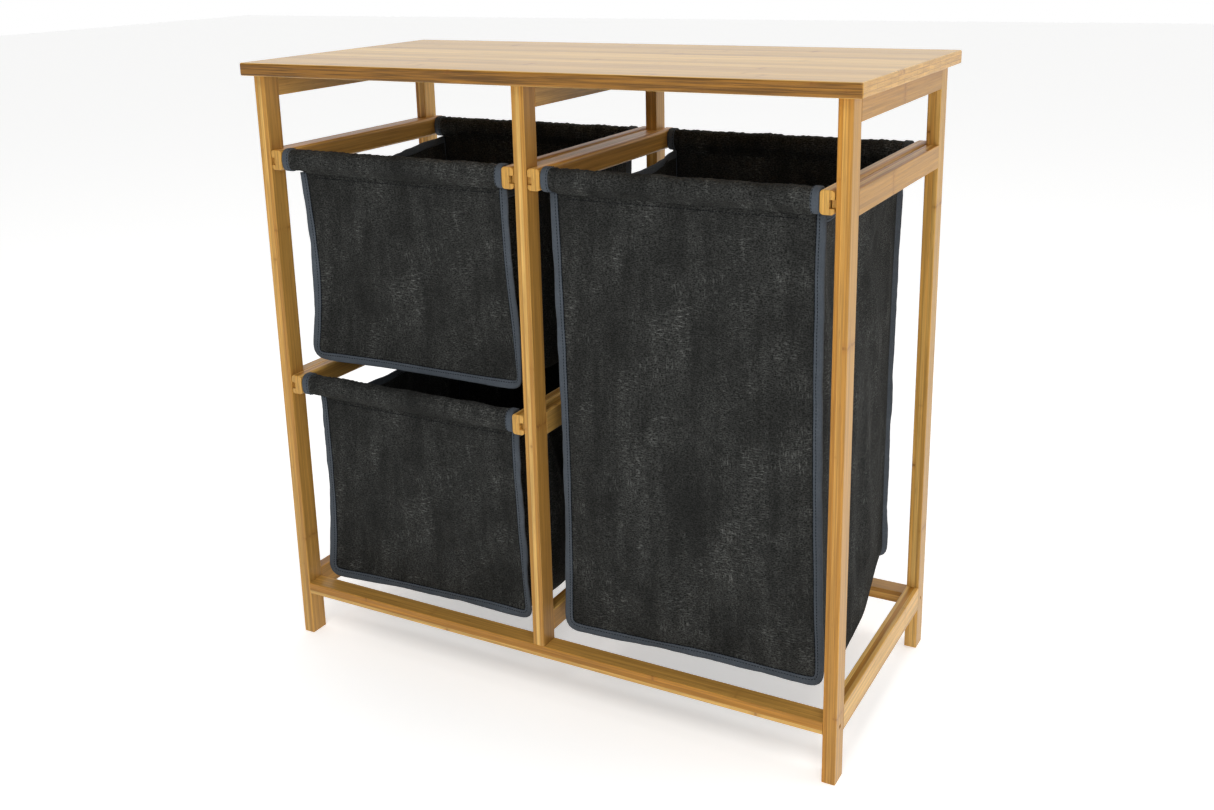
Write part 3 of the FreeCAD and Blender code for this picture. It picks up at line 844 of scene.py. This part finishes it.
def tape_section():
    """A folded tape's section: outwards from the seam, and through its thickness."""
    half = TAPE_THICK / 2
    outer = TAPE_OUT - half
    turn = np.linspace(-math.pi / 2, math.pi / 2, 7)
    nose = np.stack([outer + half * np.cos(turn), half * np.sin(turn) * 0.95], axis=1)
    top = np.array([[outer * 0.5, half * 1.02], [0.6 * MM, half * 0.80],
                    [-TAPE_IN * 0.6, half * 0.95], [-TAPE_IN, half * 0.62]])
    low = top[::-1] * (1.0, -1.0)
    return np.vstack([nose, top, low])


def seam_frame(bag, ids):
    """Along a panel's bound edge: the smooth line, its outward direction and the way along it."""
    grid = bag.points[ids]
    line = Bag.seam_ids(np.arange(grid[..., 0].size).reshape(grid.shape[:2]))
    flat = grid.reshape(-1, 3)
    rows, cols = grid.shape[:2]
    inner_r = np.clip(line // cols, 0, rows - 2)
    inner_c = np.clip(line % cols, 1, cols - 2)
    inner = flat[inner_r * cols + inner_c]
    curve = b_spline(flat[line], 3)
    outward = b_spline(unit(flat[line] - inner), 3)
    ahead = unit(np.gradient(curve, axis=0))
    outward = unit(outward - (outward * ahead).sum(1, keepdims=True) * ahead)
    return curve, outward, ahead


def bind_edge(tape, stitches, curve, outward, normal, seed, out_by=0.0, turn=0.0):
    """Folded tape along a line of cloth edge, a row of stitches on it and, in the groove beside it, wide
    dark stitches that also paint the shadow line there.
    """
    along = run_along(curve)
    lift = wander(along, 90 * MM, seed) * 0.4 * MM
    tilt = wander(along, 80 * MM, seed + 1) * math.radians(5.0) + turn
    o = outward * np.cos(tilt)[:, None] + normal * np.sin(tilt)[:, None]
    n = normal * np.cos(tilt)[:, None] - outward * np.sin(tilt)[:, None]
    section = tape_section()
    swell = 1.0 + 0.12 * wander(along, 9 * MM, seed + 2)[:, None, None]
    rings = (curve[:, None] + (section[None, :, :1] + out_by) * o[:, None]
             + (section[None, :, 1:] * swell + lift[:, None, None]) * n[:, None])
    tape.grid(rings, tube_thread(along, section), wrap=True, capped=True)
    row = curve + o * (1.4 * MM + out_by) + n * (lift[:, None] + TAPE_THICK * 0.44)
    stitch_row(stitches, row, n, seed + 3)
    # real stitches in the groove, widened into a painted shadow line between the tape and the panel
    groove = curve + o * (out_by - TAPE_IN - 0.2 * MM) + n * (lift[:, None] * 0.5 + CLOTH * 0.6)
    stitch_row(stitches, groove, n, seed + 4, GROOVE_SHADOW_LONG, GROOVE_SHADOW_WIDE)


def bind_panel(bag, tape, stitches, ids, side):
    """The tape round the sides and bottom of the front or back panel."""
    curve, outward, ahead = seam_frame(bag, ids)
    normal = unit(np.cross(ahead, outward))
    facing = -1.0 if side == "front" else 1.0
    if (normal[:, 1] * facing).mean() < 0:
        normal = -normal
    seed, turn = (bag.seed + 10, 0.0) if side == "front" else (bag.seed + 20, BACK_TAPE_TURN)
    bind_edge(tape, stitches, curve, outward, normal, seed, turn=turn)


def bind_rims(bag, tape, stitches):
    """The tape over the top edge of each side panel, from the front hem to the back hem."""
    for end, way in ((0, -1.0), (-1, 1.0)):
        edge = bag.points[bag.strip_ids[end]]
        below = bag.points[bag.strip_ids[1 if end == 0 else -2]]
        curve = b_spline(edge, 3)
        outward = b_spline(unit(edge - below), 3)
        ahead = unit(np.gradient(curve, axis=0))
        outward = unit(outward - (outward * ahead).sum(1, keepdims=True) * ahead)
        normal = unit(np.cross(ahead, outward))
        if normal[:, 0].mean() * way < 0:
            normal = -normal
        bind_edge(tape, stitches, curve, outward, normal, bag.seed + 30 + end, out_by=-RIM_TAPE_IN)


def sleeve_rings(bag, side, xs, grow=0.0, hem=True):
    """Closed sections round a bar, drawn down to the hem between the panel's edges."""
    bar = bag.bars[side]
    inward = 1.0 if side == "front" else -1.0
    turn = np.linspace(-math.pi / 2, 1.5 * math.pi, 37)[:-1]
    c, s = np.cos(turn), np.sin(turn)
    y = np.sign(c) * np.abs(c) ** SLEEVE_POWER * (SLEEVE_HALF_Y + grow)
    z = np.sign(s) * np.abs(s) ** SLEEVE_POWER * (SLEEVE_HALF_Z + grow)
    end_seed = bag.seed + (3 if side == "front" else 5)
    pucker = ripple(xs[:, None], turn[None] * 8 * MM, 9 * MM, 30 * MM, end_seed)
    roll = ripple(xs[:, None], turn[None] * 10 * MM, 70 * MM, 60 * MM, bag.seed + 6)
    swell = 1.0 + (pucker * 0.040 + roll * 0.055) * (0.45 + 0.55 * smooth((s + 0.4) / 0.8))[None]
    if grow:
        swell = 1.0 + roll * 0.03
    yy, zz = y[None] * swell, z[None] * swell
    if hem:
        left = bag.x0 + bag.insets[side + "_left"][0] - TAPE_IN
        right = bag.x1 - bag.insets[side + "_right"][0] + TAPE_IN
        near = smooth((xs - left + 4 * MM) / (9 * MM)) * smooth((right + 4 * MM - xs) / (9 * MM))
        draw = near[:, None] * (np.maximum(-s, 0.0) ** 3)[None]
        foot_y = inward * HANG_IN
        yy = yy * (1 - draw) + draw * (foot_y + np.sign(c)[None] * 1.1 * MM)
        drop = draw ** 2
        zz = zz * (1 - drop) + drop * (-TOP_DROP - 1.8 * MM)
    ring = np.empty((len(xs), len(turn), 3))
    ring[..., 0], ring[..., 1], ring[..., 2] = xs[:, None], bar.y + yy, bar.z + zz
    return ring


def sleeve(bag, side, tape, stitches):
    """The cloth sleeve on a bar, and a tape ring at each end with a row of stitches round it."""
    x0, x1 = bag.x0 + SLEEVE_GAP, bag.x1 - SLEEVE_GAP
    xs = np.linspace(x0, x1, int((x1 - x0) / (1.9 * MM)))
    rings = sleeve_rings(bag, side, xs)
    pile = Pile()
    pile.grid(rings, tube_thread(xs, rings[len(xs) // 2]), wrap=True)
    piece = pile.build("%s_bag_%s_sleeve" % (bag.drawer, side), CHARCOAL, bag.body, "bag_cloth")
    thick = piece.modifiers.new("thickness", "SOLIDIFY")
    thick.thickness = SLEEVE_THICK
    thick.offset = -1.0
    for start, way in ((x0 - RING_PROUD, 1.0), (x1 + RING_PROUD, -1.0)):
        place = start + way * RING_WIDE * RING_PLACES
        ring = [sleeve_rings(bag, side, place[k:k + 1], rise, False) for k, rise in enumerate(RING_RISE)]
        ring = np.concatenate(ring)
        tape.grid(ring, tube_thread(np.abs(place - start), ring[3]), wrap=True, capped=True)
        line = np.vstack([ring[4], ring[4][:1]])
        middle = ring[4].mean(axis=0)
        stitch_row(stitches, line, unit(line - middle), bag.seed + 40)
    return piece


def hem_row(bag, side, stitches):
    """The row of stitches that closes the sleeve, across the panel at the height of the rim."""
    grid = bag.points[bag.front_ids if side == "front" else bag.back_ids]
    out = np.array([0.0, -1.0 if side == "front" else 1.0, 0.0])
    line = b_spline(grid[1, 1:-1], 3) + out * CLOTH * 0.6
    stitch_row(stitches, line, np.broadcast_to(out, line.shape), bag.seed + 50)


def sew(bag):
    """All of one bag's pieces."""
    name = bag.drawer + "_bag"
    body = bag.body
    front, front_size = panel_object(bag, name + "_front_panel", bag.front_ids, True)
    back, back_size = panel_object(bag, name + "_back_panel", bag.back_ids, False)
    strip, strip_size = panel_object(bag, name + "_side_and_bottom_strip", bag.strip_ids, False)
    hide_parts(name)
    tape, stitches = Pile(), Pile()
    bind_panel(bag, tape, stitches, bag.front_ids, "front")
    bind_panel(bag, tape, stitches, bag.back_ids, "back")
    bind_rims(bag, tape, stitches)
    sleeves = [sleeve(bag, side, tape, stitches) for side in ("front", "back")]
    hem_row(bag, "front", stitches)
    hem_row(bag, "back", stitches)
    tape.build(name + "_binding", SLATE_TAPE, body, "binding_tape")
    stitches.build(name + "_stitches", THREAD_AND_GROOVE_SHADOW, body, "thread")


# ---------------------------------------------------------------- stage

def make_camera():
    """The camera, turned by its yaw, tipped down by its pitch and rolled about its own axis."""
    ahead = Vector((-math.sin(CAMERA_YAW) * math.cos(CAMERA_PITCH),
                    math.cos(CAMERA_YAW) * math.cos(CAMERA_PITCH),
                    -math.sin(CAMERA_PITCH)))
    right = Vector((math.cos(CAMERA_YAW), math.sin(CAMERA_YAW), 0.0))
    up = right.cross(ahead)
    turned_right = math.cos(CAMERA_ROLL) * right + math.sin(CAMERA_ROLL) * up
    turned_up = math.cos(CAMERA_ROLL) * up - math.sin(CAMERA_ROLL) * right
    axes = Matrix((turned_right, turned_up, -ahead)).transposed().to_4x4()
    data = bpy.data.cameras.new("camera")
    data.lens = CAMERA_LENS
    data.shift_y = CAMERA_SHIFT_Y
    data.dof.use_dof = False
    camera = bpy.data.objects.new("camera", data)
    bpy.context.scene.collection.objects.link(camera)
    camera.matrix_world = Matrix.Translation(CAMERA_AT) @ axes
    bpy.context.scene.camera = camera


def area_light(name, at, size, power):
    data = bpy.data.lights.new(name, "AREA")
    data.shape = "DISK"
    data.size = size
    data.energy = power
    lamp = bpy.data.objects.new(name, data)
    bpy.context.scene.collection.objects.link(lamp)
    lamp.location = at
    lamp.rotation_euler = (Vector(LIT_POINT) - Vector(at)).to_track_quat("-Z", "Y").to_euler()


def make_stage():
    world = bpy.data.worlds.new("studio")
    bpy.context.scene.world = world
    world.use_nodes = True
    tree = world.node_tree
    sky = tree.nodes["Background"]
    split = tree.nodes.new("ShaderNodeSeparateXYZ")
    bright = tree.nodes.new("ShaderNodeMapRange")
    seen = tree.nodes.new("ShaderNodeLightPath")
    pick = tree.nodes.new("ShaderNodeMix")
    tree.links.new(tree.nodes.new("ShaderNodeTexCoord").outputs["Generated"], split.inputs[0])
    tree.links.new(split.outputs[1], bright.inputs[0])
    for socket, value in zip(bright.inputs[1:5], (-SKY_TURN, SKY_TURN, SKY_FRONT, SKY_BACK)):
        socket.default_value = value
    tree.links.new(seen.outputs["Is Camera Ray"], pick.inputs[0])
    tree.links.new(bright.outputs[0], pick.inputs[2])
    pick.inputs[3].default_value = SKY_SEEN
    sky.inputs["Color"].default_value = (1.0, 1.0, 1.0, 1.0)
    tree.links.new(pick.outputs[0], sky.inputs["Strength"])
    for name, at, size, power in LIGHTS:
        area_light(name, at, size, power)
    made = Shader("floor_paper")
    where = made.add("TexCoord").outputs["Object"]
    grain = made.noise(made.vector("MULTIPLY", where, (300.0, 300.0, 300.0)), 3.0)
    tone = made.mix(grain, (0.90, 0.90, 0.89), (0.93, 0.93, 0.925))
    paper = made.finish(tone, made.math("ADD", made.math("MULTIPLY", grain, 0.1), 0.8), grain, 0.02 * MM,
                        Emission_Color=(1.0, 1.0, 1.0, 1.0), Emission_Strength=FLOOR_GLOW)
    corners = [(x * FLOOR_REACH, y * FLOOR_REACH, 0.0) for x, y in ((-1, -1), (1, -1), (1, 1), (-1, 1))]
    mesh = bpy.data.meshes.new("floor")
    mesh.from_pydata(corners, [], [(0, 1, 2, 3)])
    mesh.materials.append(paper)
    floor = bpy.data.objects.new("floor", mesh)
    floor.location.z = -0.3 * MM
    bpy.context.scene.collection.objects.link(floor)
    bpy.context.scene.view_settings.view_transform = "Standard"


# Each bag's seam distances in from the rails' inner faces at the top, middle and bottom, and low, its bottom
# seam's height above the CAD bag's bottom at the left and right ends. All of these are in mm. Lift is how
# much higher the back hangs, and sag is how far the bottom sags.
BAGS = [
    Bag("upper_left", {"front_left": (23, 25, 3), "front_right": (10, 9, 8),
                       "back_left": (10, 15, 8), "back_right": (14, 14, 12)},
        low=(2, 4), lift=12.0 * MM, sag=10.0 * MM, seed=100),
    Bag("lower_left", {"front_left": (25, 20, 0), "front_right": (8, 8, 8),
                       "back_left": (10, 15, 8), "back_right": (14, 14, 12)},
        low=(0.5, 10), lift=12.0 * MM, sag=8.0 * MM, seed=200),
    Bag("right", {"front_left": (12, 14, 4), "front_right": (5, 5, 0),
                  "back_left": (9, 12, 8), "back_right": (15, 17, 12)},
        low=(12, 20.5), lift=23.0 * MM, sag=37.0 * MM, seed=300),
]

finish_wood()
hang(BAGS)
for each in BAGS:
    sew(each)
make_camera()
make_stage()
